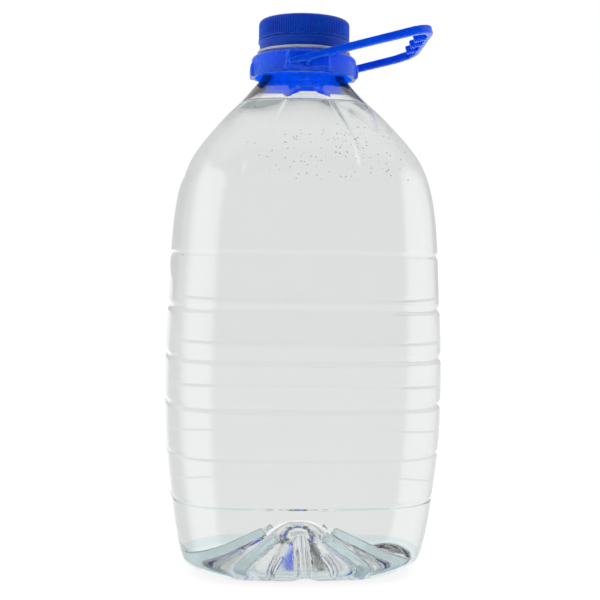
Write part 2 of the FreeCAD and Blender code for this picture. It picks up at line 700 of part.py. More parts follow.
def make_bail():
    """The carrying bail, made level with its pivot at the origin, then tilted and rolled."""
    body = new_body("bail_frame")
    outside = size.arm_inside + size.arm_width
    half_height = size.arm_height / 2
    half_grip = size.grip_height / 2

    grip_sketch = body_sketch(body, "grip_outline", "XY_Plane")
    draw_rectangle(grip_sketch, size.grip_start, -outside, size.bail_length, outside)
    grip = extrude(body, "Pad", "grip", grip_sketch, size.grip_height, "Symmetric")
    document.recompute()
    corners = [
        f"Edge{number}" for number, edge in enumerate(grip.Shape.Edges, start=1)
        if is_upright(edge) and edge.CenterOfMass.x > size.bail_length.value - TOLERANCE
    ]
    rounded = body.newObject("PartDesign::Fillet", "grip_corners")
    rounded.Base = (grip, corners)
    bind(rounded, "Radius", size.bail_corner)

    window_sketch = body_sketch(body, "grip_window", "XY_Plane")
    bar_inside = size.bail_length - size.bar_width
    bevel = size.bail_corner - size.bar_width
    turn = bevel * size.corner_share
    near = size.grip_start - size.margin
    draw_polygon(window_sketch, [
        (near, -size.arm_inside),
        (bar_inside - bevel, -size.arm_inside),
        (bar_inside - turn, -(size.arm_inside - turn)),
        (bar_inside, -(size.arm_inside - bevel)),
        (bar_inside, size.arm_inside - bevel),
        (bar_inside - turn, size.arm_inside - turn),
        (bar_inside - bevel, size.arm_inside),
        (near, size.arm_inside),
    ])
    extrude(body, "Pocket", "grip_opening", window_sketch, size.grip_height * 2, "Symmetric")

    half_rib = size.rib_width / 2
    for name, place in (("middle_rib", as_size(0)), ("outer_rib", size.rib_place)):
        rib_sketch = body_sketch(body, name + "_outline", "XY_Plane")
        draw_rectangle(rib_sketch, size.rib_tip, place - half_rib,
                       bar_inside + size.margin, place + half_rib)
        rib = extrude(body, "Pad", name, rib_sketch, size.grip_height, "Symmetric")
    mirror_front(body, "outer_ribs", [rib])

    arm_sketch = body_sketch(body, "arm_outline", "XZ_Plane", size.arm_inside)
    arm_end = size.grip_start + size.margin * 2
    draw_polygon(arm_sketch, [
        (-size.tail_reach, size.tail_lift - half_height),
        (-size.stop_half, -half_height),
        (-size.stop_half, -size.stop_depth),
        (size.stop_half, -size.stop_depth),
        (size.stop_half, -half_height),
        (arm_end, -half_grip),
        (arm_end, half_grip),
        (0, half_height),
        (-size.tail_reach, size.tail_lift + half_height * size.tail_share),
    ])
    arm = extrude(body, "Pad", "arm", arm_sketch, size.arm_width)
    mirror_front(body, "second_arm", [arm])

    length_axis = FreeCAD.Vector(1, 0, 0)
    cross_axis = FreeCAD.Vector(0, 1, 0)
    tilt = FreeCAD.Rotation(cross_axis, -size.bail_tilt.value)
    roll = FreeCAD.Rotation(length_axis, -size.bail_roll.value)
    body.Placement.Rotation = tilt.multiply(roll)
    bind(body, "Placement.Base.z", size.pivot_height)

    bail = fuse("bail_whole", [body, make_pin("front_pin", 1), make_pin("back_pin", -1)])
    bail.Label = "handle_bail"
    return bail


def make_pin(name, side):
    """A pivot pin from inside the collar's skirt into an arm, at the front or at the back."""
    pin = document.addObject("Part::Cylinder", name)
    bind(pin, "Radius", size.pin_radius)
    bind(pin, "Height", size.arm_inside + size.arm_width / 2 - size.pin_end)
    pin.Placement.Rotation = FreeCAD.Rotation(FreeCAD.Vector(1, 0, 0), 90 * side)
    bind(pin, "Placement.Base.y", -size.pin_end * side)
    bind(pin, "Placement.Base.z", size.pivot_height)
    return pin


def is_upright(edge):
    """Whether a straight edge runs along Z."""
    return isinstance(edge.Curve, Part.Line) and abs(edge.Curve.Direction.z) > 1 - TOLERANCE


# ---- Build, check and write ----------------------------------------------------------------

def check_document():
    """Stop if any object of the document failed to compute."""
    for item in document.Objects:
        if "Invalid" in item.State or "Error" in item.State:
            raise RuntimeError(f"{item.Name} did not compute: {item.State}")


def check_part(part):
    """Stop if a sub-part isn't whole and valid, and print what it is."""
    shape = part.Shape
    if shape.isNull() or not shape.isValid() or not shape.Solids:
        raise RuntimeError(f"{part.Label} has no valid solid")
    box = shape.BoundBox
    print(f"{part.Label:14s} solids {len(shape.Solids):2d}  volume {shape.Volume:10.1f}"
          f"  z {box.ZMin:7.2f} to {box.ZMax:7.2f}  x {box.XMin:7.2f} to {box.XMax:7.2f}")


parts = [
    make_bottle(),
    make_cap(),
    make_liner(),
    make_tamper_band(),
    make_bridges(),
    make_collar(),
    make_bail(),
]
document.recompute()
check_document()
for part in parts:
    check_part(part)
os.makedirs("parts", exist_ok=True)
for part in parts:
    part.Shape.exportStep(f"parts/{part.Label}.step")
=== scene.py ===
import math

import bmesh
import bpy
import numpy as np
from mathutils import Matrix, Vector


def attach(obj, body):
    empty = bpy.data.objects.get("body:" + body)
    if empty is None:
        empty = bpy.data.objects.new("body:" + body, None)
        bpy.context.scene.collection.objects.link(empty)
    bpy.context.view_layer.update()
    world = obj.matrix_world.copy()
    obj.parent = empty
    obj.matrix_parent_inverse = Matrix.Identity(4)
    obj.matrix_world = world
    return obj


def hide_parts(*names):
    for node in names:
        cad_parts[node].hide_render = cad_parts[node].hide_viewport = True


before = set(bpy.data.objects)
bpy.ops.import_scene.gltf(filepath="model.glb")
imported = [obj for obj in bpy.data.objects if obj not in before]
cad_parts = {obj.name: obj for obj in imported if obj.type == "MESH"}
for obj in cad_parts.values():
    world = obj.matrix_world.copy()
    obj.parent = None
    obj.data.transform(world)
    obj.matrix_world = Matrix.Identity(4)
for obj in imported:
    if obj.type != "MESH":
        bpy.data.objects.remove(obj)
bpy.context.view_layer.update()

# A five-litre water jug, filled. Shapes are worked out in millimetres, in the frame's own axes:
# +Z up, the bail's grip towards +X, the origin on the floor under the middle of the jug.

MM = 0.001
QUARTER = math.pi / 2
EIGHTH = math.pi / 4

# The blown form: height, half width across the flats, and the radii of its corners and of its
# bowed sides as shares of that half width.
LEVELS = np.array([
    (0.0, 60.5, 0.62, 4.0),
    (4.5, 66.4, 0.50, 4.0),
    (12.0, 70.2, 0.44, 4.0),
    (24.0, 72.8, 0.42, 4.0),
    (43.4, 75.5, 0.42, 4.0),
    (69.3, 78.2, 0.42, 4.0),
    (96.0, 79.1, 0.42, 4.0),
    (121.5, 78.9, 0.42, 4.0),
    (148.0, 77.7, 0.42, 4.0),
    (177.0, 75.9, 0.42, 4.0),
    (203.0, 73.6, 0.42, 4.0),
    (217.0, 70.8, 0.43, 3.8),
    (231.0, 65.2, 0.45, 3.5),
    (245.0, 55.1, 0.50, 3.0),
    (258.0, 44.0, 0.60, 2.2),
    (268.0, 34.4, 0.74, 1.5),
    (275.0, 28.4, 0.90, 1.12),
    (280.0, 23.95, 0.97, 1.02),
])

# Ring grooves: height, depth and half the height of the softened hollow.
GROOVES = [
    (43.4, 0.8, 2.0),
    (69.3, 0.8, 2.0),
    (96.0, 1.3, 3.1),
    (121.5, 1.3, 3.1),
    (148.0, 1.3, 3.1),
    (177.0, 0.8, 2.0),
]

# The wall, which grows thicker between the shoulder and the end of the blown form. The rows of
# its inside stop at INNER_TOP, where the bore's rings take over.
WALL, NECK_WALL = 0.5, 1.6
THICKER_FROM, BLOWN_TOP = 263.5, 279.0
INNER_TOP = 277.0

# The sunk panel on each side of the shoulder: its depth, the heights and half widths of its two
# ends, the radius of its corners, and half the width of its soft edge.
PANEL_DEPTH = 1.3
PANEL_LOW, PANEL_HIGH = 214.0, 266.0
PANEL_LOW_HALF, PANEL_HIGH_HALF = 37.0, 11.0
PANEL_CORNER = 7.0
PANEL_EDGE = 1.1

# The push-up: a cone from the feet, with a ball on top of it. The channels reach up the side to
# CHANNEL_TOP, and the base's rougher finish with its painted shade reaches up to HEEL_TOP.
DOME_RADIUS, DOME_HEIGHT = 22.0, 26.0
SKIRT_RADIUS, SKIRT_TOP_RADIUS, SKIRT_HEIGHT = 57.0, 14.0, 20.4
CHANNEL_COUNT = 8
CHANNEL_TOP = 9.0
HEEL_TOP = 9.0

# The neck, which no row above NECK_FROM is narrower than, its three-start thread, and the
# support ring's heights and inner radius.
NECK_RADIUS, NECK_FROM = 24.3, 270.0
FINISH_RADIUS, THREAD_RADIUS = 22.9, 24.0
THREAD_LEAD, THREAD_STARTS, THREAD_TURN = 9.0, 3, 0.5
THREAD_LEVEL = 304.5
RING_LOW, RING_HIGH, RING_INNER = 293.7, 295.45, 24.5

# The water's level, its gap to the wall, how high it climbs the wall over about the same distance,
# and how far above its level the wall still counts as wet.
WATER_LEVEL = 262.5
WATER_GAP = 0.04
MENISCUS = 1.1
WET_ABOVE = 0.6
BUBBLE_COUNT = 150

# Places of the bottle's materials in its list.
DRY, WET, INSIDE, BASE, RING = range(5)

COLUMNS_PER_EIGHTH = 32


# ---- Numbers -------------------------------------------------------------------------------

def smooth_step(low, high, value):
    """0 up to low and 1 from high on, with a soft rise between. With low above high, it falls."""
    share = np.clip((value - low) / (high - low), 0.0, 1.0)
    return share * share * (3.0 - 2.0 * share)


def smooth_max(first, second, softness):
    """The larger of two values, with a soft crossing."""
    return 0.5 * (first + second + np.sqrt((first - second) ** 2 + softness ** 2))


def spline_slopes(places, values):
    """Second derivatives of the natural cubic spline through the points."""
    count = len(places)
    gaps = np.diff(places)
    system = np.eye(count)
    right = np.zeros(count)
    for row in range(1, count - 1):
        system[row, row - 1] = gaps[row - 1]
        system[row, row] = 2.0 * (gaps[row - 1] + gaps[row])
        system[row, row + 1] = gaps[row]
        rise = (values[row + 1] - values[row]) / gaps[row]
        right[row] = 6.0 * (rise - (values[row] - values[row - 1]) / gaps[row - 1])
    return np.linalg.solve(system, right)


def spline(places, values):
    """A function that follows the natural cubic spline through the points."""
    bends = spline_slopes(places, values)

    def follow(place):
        place = np.clip(place, places[0], places[-1])
        left = np.clip(np.searchsorted(places, place) - 1, 0, len(places) - 2)
        gap = places[left + 1] - places[left]
        before = (places[left + 1] - place) / gap
        after = (place - places[left]) / gap
        bend = (before ** 3 - before) * bends[left] + (after ** 3 - after) * bends[left + 1]
        return before * values[left] + after * values[left + 1] + bend * gap ** 2 / 6.0

    return follow


half_at = spline(LEVELS[:, 0], LEVELS[:, 1])
corner_at = spline(LEVELS[:, 0], LEVELS[:, 2])
bow_at = spline(LEVELS[:, 0], LEVELS[:, 3])


# ---- The blown form ------------------------------------------------------------------------

def section_radius(angle, height, offset):
    """Distance of the rounded square from the axis, with its sides moved outwards by offset."""
    half = half_at(height)
    bow = half * bow_at(height)
    corner = half * corner_at(height)
    setback = bow - half
    reach = bow - corner
    place = (np.sqrt(2 * reach ** 2 - setback ** 2) - setback) / 2
    swing = np.arctan2(place, place + setback)
    turn = np.abs((angle + EIGHTH) % QUARTER - EIGHTH)
    tangent = np.arctan2(bow * np.sin(swing), bow * np.cos(swing) - setback)

    side_along = -setback * np.cos(turn)
    side = side_along + np.sqrt(side_along ** 2 - setback ** 2 + (bow + offset) ** 2)
    corner_along = place * (np.cos(turn) + np.sin(turn))
    inside = corner_along ** 2 - 2 * place ** 2 + (corner + offset) ** 2
    return np.where(turn < tangent, side, corner_along + np.sqrt(np.maximum(inside, 0.0)))


def groove_depth(height):
    """How far the ring grooves are sunk at a height."""
    depth = np.zeros_like(height)
    for level, deepest, half in GROOVES:
        share = np.clip(np.abs(height - level) / half, 0.0, 1.0)
        depth += deepest * (0.5 + 0.5 * np.cos(math.pi * share))
    return depth


def panel_half(height):
    """Half the width of a shoulder panel at a height."""
    share = (height - PANEL_LOW) / (PANEL_HIGH - PANEL_LOW)
    return PANEL_LOW_HALF + (PANEL_HIGH_HALF - PANEL_LOW_HALF) * share


def panel_depth(angle, height):
    """How far the shoulder is sunk at a point: a panel with round corners on every side. Its low
    end is deep at its corners and runs out softly between them."""
    turn = np.abs((angle + EIGHTH) % QUARTER - EIGHTH)
    across = section_radius(angle, height, 0.0) * np.sin(turn)
    lean = math.hypot(PANEL_HIGH - PANEL_LOW, PANEL_LOW_HALF - PANEL_HIGH_HALF)
    lean = (PANEL_HIGH - PANEL_LOW) / lean
    beside = (across - panel_half(height)) * lean + PANEL_CORNER
    below = PANEL_LOW - height + PANEL_CORNER
    above = height - PANEL_HIGH + PANEL_CORNER * 0.5
    along = np.maximum(below, above)
    outside = np.hypot(np.maximum(beside, 0.0), np.maximum(along, 0.0))
    edge = outside + np.minimum(np.maximum(beside, along), 0.0) - PANEL_CORNER
    fade = smooth_step(PANEL_LOW - 1.0, PANEL_LOW + 12.0, height)
    middle = smooth_step(1.0, 0.62, across / np.maximum(panel_half(height), 1.0))
    depth = PANEL_DEPTH * (1.0 - (1.0 - fade) * middle)
    return depth * smooth_step(PANEL_EDGE, -PANEL_EDGE, edge)


def side_radius(angle, height):
    """The outside of the blown form, with its grooves and panels."""
    offset = -groove_depth(height) - panel_depth(angle, height)
    radius = section_radius(angle, height, offset)
    return np.where(height > NECK_FROM, np.maximum(radius, NECK_RADIUS), radius)


def ridge_height(along, across, start, rise, spread):
    """A ridge pressed up into the base, which climbs towards the middle."""
    top = start[1] + (start[0] - along) * rise
    sharpness = spread[0] + (spread[1] - spread[0]) * smooth_step(start[0], start[0] - 16.0, along)
    return top - sharpness * across ** 2


def underside(x, y):
    """Height of the base's outer face above the floor: push-up, channels and foot ribs."""
    distance = np.hypot(x, y)
    skirt = (SKIRT_RADIUS - distance) * SKIRT_HEIGHT / (SKIRT_RADIUS - SKIRT_TOP_RADIUS)
    ball = DOME_HEIGHT - DOME_RADIUS
    ball = ball + np.sqrt(np.maximum(DOME_RADIUS ** 2 - distance ** 2, 0.0))
    beyond = np.maximum(distance - DOME_RADIUS * 0.97, 0.0)
    push_up = smooth_max(skirt, ball - 6.0 * beyond, 2.0)
    push_up = np.minimum(push_up, DOME_HEIGHT)
    height = smooth_max(push_up, -0.15, 0.8)

    spacing = 2 * math.pi / CHANNEL_COUNT
    angle = np.arctan2(y, x)
    # The channels, then a smaller rib in the middle of each foot: the turn as a share of the
    # spacing, the outer end's distance and height, the climb, how fast the sides fall away at
    # the outer and inner end, and the distance where the rib ends.
    for shift, start, rise, spread, inner in (
        (0.0, (62.0, 3.0), 0.46, (0.09, 0.45), 20.0),
        (0.5, (57.5, 0.6), 0.52, (0.70, 0.55), 34.0),
    ):
        turn = (angle / spacing - shift + 0.5) % 1.0 - 0.5
        turn = turn * spacing
        along = distance * np.cos(turn)
        across = distance * np.sin(turn)
        ridge = ridge_height(along, across, start, rise, spread)
        ridge = np.where(along > inner, ridge, ridge - (inner - along) * 2.0)
        height = smooth_max(height, ridge, 0.7)
    return height


def column_angles(height):
    """Angles of the mesh's columns at a height: close together at the panels' edges and, low
    down, at the ribs of the base."""
    share = np.arange(COLUMNS_PER_EIGHTH) / COLUMNS_PER_EIGHTH
    low = share - 0.5 * np.sin(4 * math.pi * share) / (4 * math.pi)
    level = min(max(height, PANEL_LOW), PANEL_HIGH)
    radius = float(section_radius(np.array(0.3), np.array(level), 0.0))
    edge = math.asin(min(float(panel_half(level)) / radius, 0.7)) / EIGHTH
    band = 2.6 / radius / EIGHTH
    high = np.interp(share, [0.0, 0.40, 0.60, 1.0], [0.0, edge - band, edge + band, 1.0])
    blend = float(smooth_step(30.0, 190.0, np.array(height)))
    eighth = (low + (high - low) * blend) * EIGHTH
    mirrored = QUARTER - np.append(eighth[1:], EIGHTH)[::-1]
    quarter = np.concatenate([eighth, mirrored])
    return np.concatenate([quarter + QUARTER * side for side in range(4)])


def side_heights(coarse, fine):
    """Heights of the mesh's rows from the floor to the neck, close together at every feature."""
    features = [(level, half, fine) for level, depth, half in GROOVES]
    features += [(PANEL_LOW, 2.0, fine * 1.8), (PANEL_HIGH - 2.0, 3.0, fine * 1.8)]
    features += [(1.5, 3.0, fine * 1.4)]
    heights = [0.0]
    while heights[-1] < BLOWN_TOP:
        height = heights[-1]
        steps = [step + 0.45 * max(abs(height - level) - half, 0.0) for level, half, step in features]
        heights.append(height + min(coarse, min(steps)))
    return heights[:-1]


def blown_rows(coarse, fine, base_rows):
    """Rings of points from the middle of the base out to the foot and up to the neck."""
    rows = []
    foot = side_radius(column_angles(0.0), np.zeros(COLUMNS_PER_EIGHTH * 8))
    for share in np.linspace(0.0, 1.0, base_rows + 2)[1:-1]:
        angle = column_angles(0.0)
        distance = foot * share ** 0.85
        x, y = distance * np.cos(angle), distance * np.sin(angle)
        rows.append(np.stack([x, y, underside(x, y)], axis=1))
    for height in side_heights(coarse, fine):
        angle = column_angles(height)
        level = np.full_like(angle, height)
        distance = side_radius(angle, level)
        x, y = distance * np.cos(angle), distance * np.sin(angle)
        if height < CHANNEL_TOP:
            level = smooth_max(level, underside(x, y), 0.3) - 0.05
        rows.append(np.stack([x, y, level], axis=1))
    return np.array(rows)


def wall_at(height):
    """Thickness of the wall: even in the body, thicker where it runs into the neck."""
    return WALL + (NECK_WALL - WALL) * smooth_step(THICKER_FROM, BLOWN_TOP, height)


def moved_in(rows, distance):
    """The same rings moved inwards along the surface's own normals."""
    along = np.gradient(rows, axis=0)
    around = np.roll(rows, -1, axis=1) - np.roll(rows, 1, axis=1)
    normal = np.cross(around, along)
    normal /= np.maximum(np.linalg.norm(normal, axis=2, keepdims=True), 1e-9)
    return rows - normal * distance


# ---- Meshes --------------------------------------------------------------------------------

def add_piece(name, vertices, faces, sharp=None):
    """A new object from points in millimetres."""
    mesh = bpy.data.meshes.new(name)
    mesh.from_pydata((np.asarray(vertices) * MM).tolist(), [], faces)
    mesh.validate()
    mesh.shade_smooth()
    if sharp is not None:
        mesh.set_sharp_from_angle(angle=math.radians(sharp))
    piece = bpy.data.objects.new(name, mesh)
    bpy.context.scene.collection.objects.link(piece)
    return piece


def face_outwards(piece):
    """Make all faces of a closed piece point outwards."""
    work = bmesh.new()
    work.from_mesh(piece.data)
    bmesh.ops.recalc_face_normals(work, faces=work.faces)
    if work.calc_volume(signed=True) < 0:
        bmesh.ops.reverse_faces(work, faces=work.faces)
    work.to_mesh(piece.data)
    work.free()


def ring_faces(first, second, count):
    """Quads between two rings of vertices."""
    faces = []
    for column in range(count):
        following = (column + 1) % count
        faces.append((first + column, first + following, second + following, second + column))
    return faces


def piece_from_rings(name, rings, sharp=None, closed=False):
    """A piece skinned over rings of points. Unless closed, each end runs to a middle point."""
    rings = np.asarray(rings)
    rows, count = rings.shape[:2]
    vertices = rings.reshape(-1, 3).tolist()
    faces = []
    for row in range(rows - 1):
        faces += ring_faces(row * count, (row + 1) * count, count)
    if closed:
        faces += ring_faces((rows - 1) * count, 0, count)
    else:
        for row, flip in ((0, True), (rows - 1, False)):
            middle = len(vertices)
            vertices.append(rings[row].mean(axis=0).tolist())
            for column in range(count):
                pair = (row * count + column, row * count + (column + 1) % count)
                faces.append((*(pair[::-1] if flip else pair), middle))
    piece = add_piece(name, vertices, faces, sharp)
    face_outwards(piece)
    return piece


def turned_ring(radius, height, angles):
    """A level ring. The radius may differ from point to point."""
    radius = np.broadcast_to(radius, angles.shape)
    level = np.broadcast_to(height, angles.shape)
    return np.stack([radius * np.cos(angles), radius * np.sin(angles), level], axis=1)


def thread_ridge(angles, height, level, starts):
    """Share of the thread's full height at points of a ring: 1 on a crest, 0 between."""
    share = np.zeros_like(angles)
    for start in range(starts):
        turned = (angles - start * 2 * math.pi / starts) % (2 * math.pi) / (2 * math.pi)
        middle = level + turned * THREAD_LEAD
        near = smooth_step(0.95, 0.35, np.abs(height - middle))
        ends = smooth_step(0.0, 0.03, turned) * smooth_step(THREAD_TURN, THREAD_TURN - 0.03, turned)
        share = np.maximum(share, near * ends)
    return share


def softened(corners, radius, steps=4):
    """A closed outline with every corner rounded."""
    corners = np.asarray(corners, float)
    outline = []
    for index, corner in enumerate(corners):
        before = corners[index - 1]
        after = corners[(index + 1) % len(corners)]
        back = min(radius, 0.45 * np.linalg.norm(before - corner))
        ahead = min(radius, 0.45 * np.linalg.norm(after - corner))
        start = corner + (before - corner) * back / np.linalg.norm(before - corner)
        end = corner + (after - corner) * ahead / np.linalg.norm(after - corner)
        for share in np.linspace(0.0, 1.0, steps):
            outline.append((1 - share) ** 2 * start + 2 * share * (1 - share) * corner + share ** 2 * end)
    return np.array(outline)


def rounded_copy(node, name, voxel, rounds, outside=None):
    """A CAD node's shape as a new piece with softened edges. Outside is a radius beyond which
    the piece is softened further, and by how many rounds."""
    piece = bpy.data.objects.new(name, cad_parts[node].data.copy())
    piece.data.materials.clear()
    bpy.context.scene.collection.objects.link(piece)
    remesh = piece.modifiers.new("remesh", "REMESH")
    remesh.mode = "VOXEL"
    remesh.voxel_size = voxel * MM
    apply_modifiers(piece, name)
    soften = piece.modifiers.new("soften", "SMOOTH")
    soften.factor = 0.5
    soften.iterations = rounds
    if outside is not None:
        radius, more = outside
        group = piece.vertex_groups.new(name="outside")
        for vertex in piece.data.vertices:
            beyond = math.hypot(vertex.co.x, vertex.co.y) / MM - radius
            group.add([vertex.index], min(max(beyond, 0.0), 1.0), "REPLACE")
        again = piece.modifiers.new("again", "SMOOTH")
        again.factor = 0.5
        again.iterations = more
        again.vertex_group = group.name
    apply_modifiers(piece, name)
    piece.vertex_groups.clear()
    piece.data.shade_smooth()
    return piece


def apply_modifiers(piece, name):
    """Replace a piece's mesh by what its modifiers make of it."""
    graph = bpy.context.evaluated_depsgraph_get()
    mesh = bpy.data.meshes.new_from_object(piece.evaluated_get(graph))
    piece.modifiers.clear()
    piece.data = mesh
    mesh.name = name


# ---- Materials -----------------------------------------------------------------------------

# Refractive indices. An index of 1 leaves light's way as it is.
PET_INDEX, WATER_INDEX, BENDS_NOTHING = 1.57, 1.333, 1.0

# Clear PET is a little darker where it is seen at a slant, because the way through it is longer:
# places between face on (0) and edge on (1), and the share of the tint at each of them.
SLANT_PLACES = (0.0, 0.28, 0.45, 1.0)
SLANTS = (1.0, 1.0, 0.86, 0.55)
EVEN = (1.0, 1.0, 1.0, 1.0)

# Light passes the dry wall's tint on both faces. The wet wall's tint is on its outer face alone.
PLAIN = (1.0, 1.0, 1.0)
PET_TINT = (0.872, 0.875, 0.872)
WET_TINT = tuple(channel ** 2 for channel in PET_TINT)
# The base's darker blue-grey tint is painted shade, with a painted reflection of the blue closure.
BASE_SHADE_TINT = (0.56, 0.67, 0.69)
# The support ring's near-white, partly scattering PET is a painted highlight for the light the ring
# carries.
RING_HIGHLIGHT_TINT = (0.97, 0.98, 0.98)


def new_material(name):
    """A material that holds one shader and its output, and that shader."""
    material = bpy.data.materials.new(name)
    material.use_nodes = True
    nodes = material.node_tree.nodes
    nodes.clear()
    output = nodes.new("ShaderNodeOutputMaterial")
    shader = nodes.new("ShaderNodeBsdfPrincipled")
    material.node_tree.links.new(shader.outputs["BSDF"], output.inputs["Surface"])
    return material, shader


def add_noise(material, scale, detail=2.0, roughness=0.5):
    """A noise that follows the object's own coordinates; scale is features per metre."""
    tree = material.node_tree
    place = tree.nodes.new("ShaderNodeTexCoord")
    noise = tree.nodes.new("ShaderNodeTexNoise")
    noise.inputs["Scale"].default_value = scale
    noise.inputs["Detail"].default_value = detail
    noise.inputs["Roughness"].default_value = roughness
    tree.links.new(place.outputs["Object"], noise.inputs["Vector"])
    return noise


def map_range(material, source, low, high, start=0.3, end=0.7):
    """A value mapped from start..end to low..high."""
    tree = material.node_tree
    node = tree.nodes.new("ShaderNodeMapRange")
    node.inputs["From Min"].default_value = start
    node.inputs["From Max"].default_value = end
    node.inputs["To Min"].default_value = low
    node.inputs["To Max"].default_value = high
    tree.links.new(source, node.inputs["Value"])
    return node.outputs["Result"]


def add_bump(material, shader, heights, strength, distance):
    """A bump from one or more noises, each in turn on top of the last."""
    tree = material.node_tree
    normal = None
    for height in heights:
        bump = tree.nodes.new("ShaderNodeBump")
        bump.inputs["Strength"].default_value = strength
        bump.inputs["Distance"].default_value = distance * MM
        tree.links.new(height, bump.inputs["Height"])
        if normal is not None:
            tree.links.new(normal, bump.inputs["Normal"])
        normal = bump.outputs["Normal"]
    tree.links.new(normal, shader.inputs["Normal"])


def moulded_plastic(name, dark, light, roughness, coat, glow=None):
    """Moulded polyethylene: slightly uneven colour, a fine grain and faint rub marks. A glow
    stands in for the daylight that comes through the plastic."""
    material, shader = new_material(name)
    tree = material.node_tree
    cloud = add_noise(material, 60.0, 3.0)
    ramp = tree.nodes.new("ShaderNodeValToRGB")
    ramp.color_ramp.elements[0].position = 0.32
    ramp.color_ramp.elements[0].color = (*dark, 1.0)
    ramp.color_ramp.elements[1].position = 0.68
    ramp.color_ramp.elements[1].color = (*light, 1.0)
    tree.links.new(cloud.outputs["Fac"], ramp.inputs["Fac"])
    tree.links.new(ramp.outputs["Color"], shader.inputs["Base Color"])

    rub = add_noise(material, 340.0, 5.0, 0.65)
    tree.links.new(map_range(material, rub.outputs["Fac"], roughness - 0.05, roughness + 0.07),
                   shader.inputs["Roughness"])
    fine = add_noise(material, 2600.0, 2.0)
    wave = add_noise(material, 210.0, 2.0)
    add_bump(material, shader, [wave.outputs["Fac"], fine.outputs["Fac"]], 0.05, 0.05)
    shader.inputs["IOR"].default_value = 1.45
    shader.inputs["Specular IOR Level"].default_value = 0.22
    shader.inputs["Subsurface Weight"].default_value = 1.0
    shader.inputs["Subsurface Radius"].default_value = (0.1, 0.5, 1.0)
    shader.inputs["Subsurface Scale"].default_value = 6.0 * MM
    shader.inputs["Coat Weight"].default_value = coat
    shader.inputs["Coat Roughness"].default_value = 0.22
    if glow is not None:
        shader.inputs["Emission Color"].default_value = (*glow, 1.0)
        shader.inputs["Emission Strength"].default_value = 0.8
    return material


def clear_pet(name, index, tint, wave, slants=SLANTS, roughness=0.0, through=1.0):
    """Clear blow-moulded PET: glossy, with the faint waviness that blowing leaves. Slants are
    shares of the tint, from a wall that faces the eye to one that is seen edge on."""
    material, shader = new_material(name)
    tree = material.node_tree
    cloud = add_noise(material, 26.0, 2.0)
    slant = tree.nodes.new("ShaderNodeLayerWeight")
    slant.inputs["Blend"].default_value = 0.35
    ramp = tree.nodes.new("ShaderNodeValToRGB")
    for place, share in zip(SLANT_PLACES, slants):
        element = ramp.color_ramp.elements[-1] if place else ramp.color_ramp.elements[0]
        if 0.0 < place < 1.0:
            element = ramp.color_ramp.elements.new(place)
        element.position = place
        element.color = (*[channel * share for channel in tint], 1.0)
    tree.links.new(slant.outputs["Facing"], ramp.inputs["Fac"])
    uneven = tree.nodes.new("ShaderNodeMix")
    uneven.data_type = "RGBA"
    uneven.blend_type = "MULTIPLY"
    uneven.inputs["Factor"].default_value = 1.0
    grey = tree.nodes.new("ShaderNodeCombineColor")
    level = map_range(material, cloud.outputs["Fac"], 0.992, 1.0)
    for channel in ("Red", "Green", "Blue"):
        tree.links.new(level, grey.inputs[channel])
    tree.links.new(ramp.outputs["Color"], uneven.inputs["A"])
    tree.links.new(grey.outputs["Color"], uneven.inputs["B"])
    tree.links.new(uneven.outputs["Result"], shader.inputs["Base Color"])
    shader.inputs["Roughness"].default_value = roughness
    shader.inputs["IOR"].default_value = index
    shader.inputs["Transmission Weight"].default_value = through
    ripple = add_noise(material, 34.0, 1.0)
    add_bump(material, shader, [ripple.outputs["Fac"]], wave, 1.0)
    return material


def water(name, index):
    """Still water, faintly blue-green. Its faces against the wall bend nothing, because the wet
    wall's outer face already has the water's index. Its open surface bends and ripples."""
    material, shader = new_material(name)
    tree = material.node_tree
    shader.inputs["Base Color"].default_value = (1.0, 1.0, 1.0, 1.0)
    shader.inputs["Roughness"].default_value = 0.0
    shader.inputs["IOR"].default_value = index
    shader.inputs["Transmission Weight"].default_value = 1.0
    if index > BENDS_NOTHING:
        ripple = add_noise(material, 45.0, 1.0)
        add_bump(material, shader, [ripple.outputs["Fac"]], 0.05, 1.0)
    volume = tree.nodes.new("ShaderNodeVolumeAbsorption")
    volume.inputs["Color"].default_value = (0.80, 0.95, 0.93, 1.0)
    volume.inputs["Density"].default_value = 1.0
    tree.links.new(volume.outputs["Volume"], tree.nodes["Material Output"].inputs["Volume"])
    return material


def foam_white(name):
    """The liner's soft white foamed sheet."""
    material, shader = new_material(name)
    cells = add_noise(material, 1800.0, 3.0)
    shader.inputs["Base Color"].default_value = (0.86, 0.86, 0.85, 1.0)
    material.node_tree.links.new(map_range(material, cells.outputs["Fac"], 0.55, 0.75),
                                 shader.inputs["Roughness"])
    add_bump(material, shader, [cells.outputs["Fac"]], 0.3, 0.05)
    return material


# ---- The bottle and what it holds ----------------------------------------------------------

